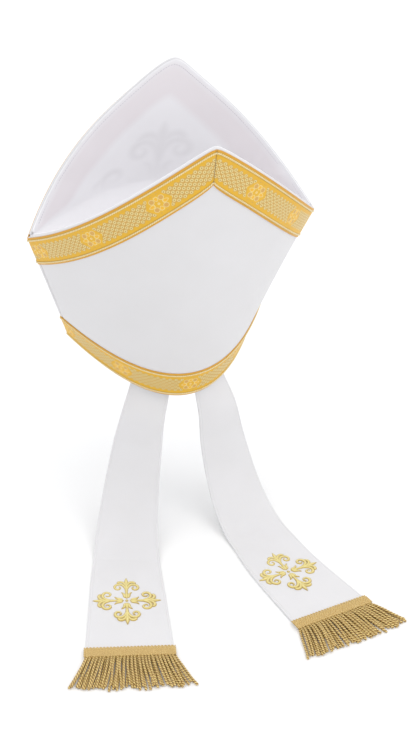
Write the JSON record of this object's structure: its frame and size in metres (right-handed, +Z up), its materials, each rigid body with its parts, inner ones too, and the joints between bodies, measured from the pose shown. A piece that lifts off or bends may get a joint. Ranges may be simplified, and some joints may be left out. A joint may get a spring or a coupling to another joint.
{
  "type": "bishop mitre",
  "caption": "Tall peaked liturgical hat in white cloth with gold galloon, an embroidered cross, and fringed lappets hanging from the back hem.",
  "frame": {"origin": "middle of the head opening, halfway between the two side seams at the hem", "axes": "+Z up, the wearer faces -Y, the lappets hang at +Y, +X is the wearer's left; the mitre leans back 26 degrees towards +Y as it does on a head"},
  "size_m": [0.3275, 0.418, 0.4847],
  "materials": {
    "cloth": "matt white stiffened cloth, fine plain weave",
    "gusset_cloth": "thin white lining cloth, slightly see-through",
    "galloon": "woven yellow-gold braid with a metallic diaper pattern",
    "embroidery": "pale gold satin stitch",
    "bullion": "twisted gold metal-thread cords"
  },
  "bodies": {
    "root": {"back_panel": "cloth", "front_panel": "cloth", "gusset_back": "gusset_cloth", "gusset_front": "gusset_cloth", "gusset_floor": "gusset_cloth", "galloon_back_left": "galloon", "galloon_back_right": "galloon", "galloon_front_left": "galloon", "galloon_front_right": "galloon", "galloon_hem": "galloon", "front_cross": "embroidery", "lappet_left": "cloth", "lappet_right": "cloth", "lappet_cross_left": "embroidery", "lappet_cross_right": "embroidery", "fringe_heading_left": "bullion", "fringe_heading_right": "bullion", "fringe_left": "bullion", "fringe_right": "bullion"}
  },
  "joints": []
}
